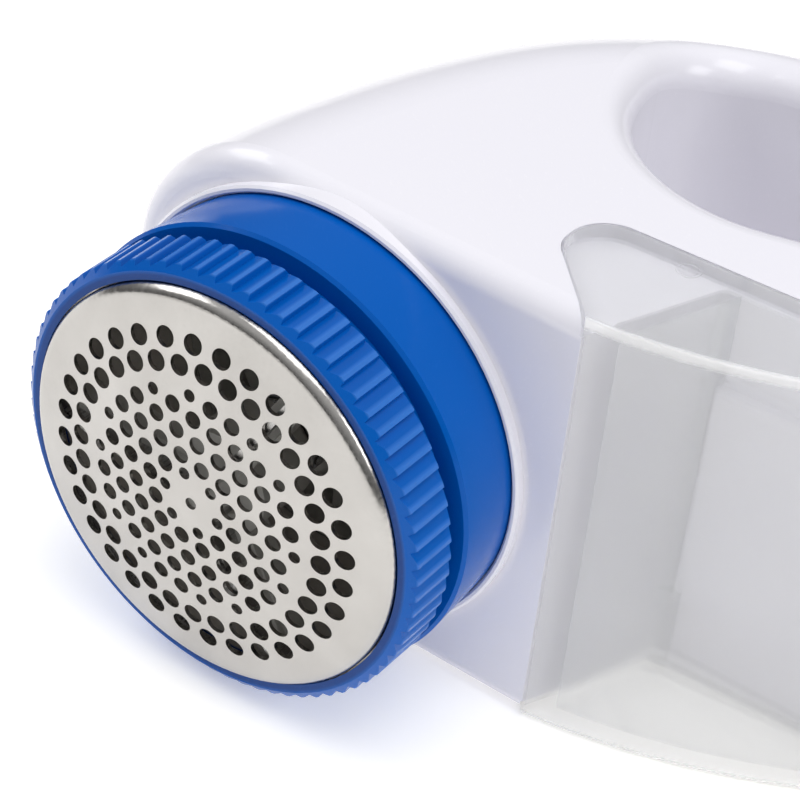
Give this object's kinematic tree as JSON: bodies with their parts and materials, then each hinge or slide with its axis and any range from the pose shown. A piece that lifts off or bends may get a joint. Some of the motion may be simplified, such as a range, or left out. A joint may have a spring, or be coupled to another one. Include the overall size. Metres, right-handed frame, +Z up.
{
  "type": "fabric shaver",
  "caption": "Hand-held fabric shaver with a perforated foil head in a ribbed lock ring, a loop handle and a clear slide-out lint container.",
  "frame": {"origin": "centre of the bounding box at its base, on the flat side the shaver lies on", "axes": "+X from the foil back along the head's axis, +Y towards the blunt end above the head, +Z up, across the thickness"},
  "size_m": [0.107, 0.134, 0.058],
  "materials": {
    "white_shell": "gloss, fine moulded texture",
    "blue_collar": "gloss",
    "blue_ring": "gloss",
    "blue_button": "gloss",
    "foil_steel": "satin",
    "clear_plastic": "clear, polished",
    "inner_plastic": "matt",
    "black_plastic": "matt",
    "blade_steel": "ground",
    "shaft_steel": "ground",
    "spring_steel": "bright",
    "motor_steel": "zinc plated",
    "screw_steel": "zinc plated",
    "magnet": "ferrite",
    "carbon": "matt",
    "bronze": "sintered",
    "copper_wire": "enamelled",
    "contact_metal": "nickel plated",
    "cell_jacket": "printed sleeve",
    "red_lead": "satin",
    "black_lead": "satin"
  },
  "bodies": {
    "casing": {"upper_shell": "white_shell", "lower_shell": "white_shell", "lint_duct": "inner_plastic", "head_collar": "blue_collar", "fan_housing": "inner_plastic", "motor_can": "motor_steel", "motor_magnets": "magnet", "motor_brushes": "carbon", "motor_end_cap": "black_plastic", "motor_bushes": "bronze", "motor_terminals": "contact_metal", "motor_screws": "screw_steel", "battery_cells": "cell_jacket", "battery_contacts": "contact_metal", "battery_springs": "spring_steel", "switch_body": "black_plastic", "switch_terminals": "contact_metal", "positive_leads": "red_lead", "negative_lead": "black_lead", "case_screws": "screw_steel"},
    "rotor": {"drive_shaft": "shaft_steel", "drive_dog": "inner_plastic", "suction_fan": "inner_plastic", "armature_core": "motor_steel", "armature_windings": "copper_wire", "commutator": "copper_wire", "blade_spring": "spring_steel"},
    "cutter": {"blade_carrier": "inner_plastic", "blades": "blade_steel"},
    "head_ring": {"lock_ring": "blue_ring", "foil": "foil_steel", "foil_retainer": "spring_steel"},
    "lint_box": {"lint_container": "clear_plastic"},
    "battery_cover": {"battery_door": "white_shell"},
    "power_slide": {"switch_button": "blue_button"}
  },
  "joints": [
    {"name": "rotor_spin", "type": "hinge", "parent": "casing", "child": "rotor", "pos_m": [-0.05173, 0.0379, 0.029], "axis": [1, 0, 0], "continuous": true},
    {"name": "cutter_float", "type": "slide", "parent": "rotor", "child": "cutter", "axis": [1, 0, 0], "range_m": [0, 0.0008], "stiffness_N_per_m": 400, "springref_m": -0.0015},
    {"name": "ring_turn", "type": "hinge", "parent": "casing", "child": "head_ring", "pos_m": [-0.05173, 0.0379, 0.029], "axis": [1, 0, 0], "range_deg": [0, 38]},
    {"name": "container_slide", "type": "slide", "parent": "casing", "child": "lint_box", "axis": [0.0624, -0.9981, 0], "range_m": [0, 0.055]},
    {"name": "switch_slide", "type": "slide", "parent": "casing", "child": "power_slide", "axis": [-0.6706, 0.7418, 0], "range_m": [0, 0.004]},
    {"name": "door_pull", "type": "slide", "parent": "casing", "child": "battery_cover", "axis": [1, 0, 0], "range_m": [0, 0.015]}
  ]
}
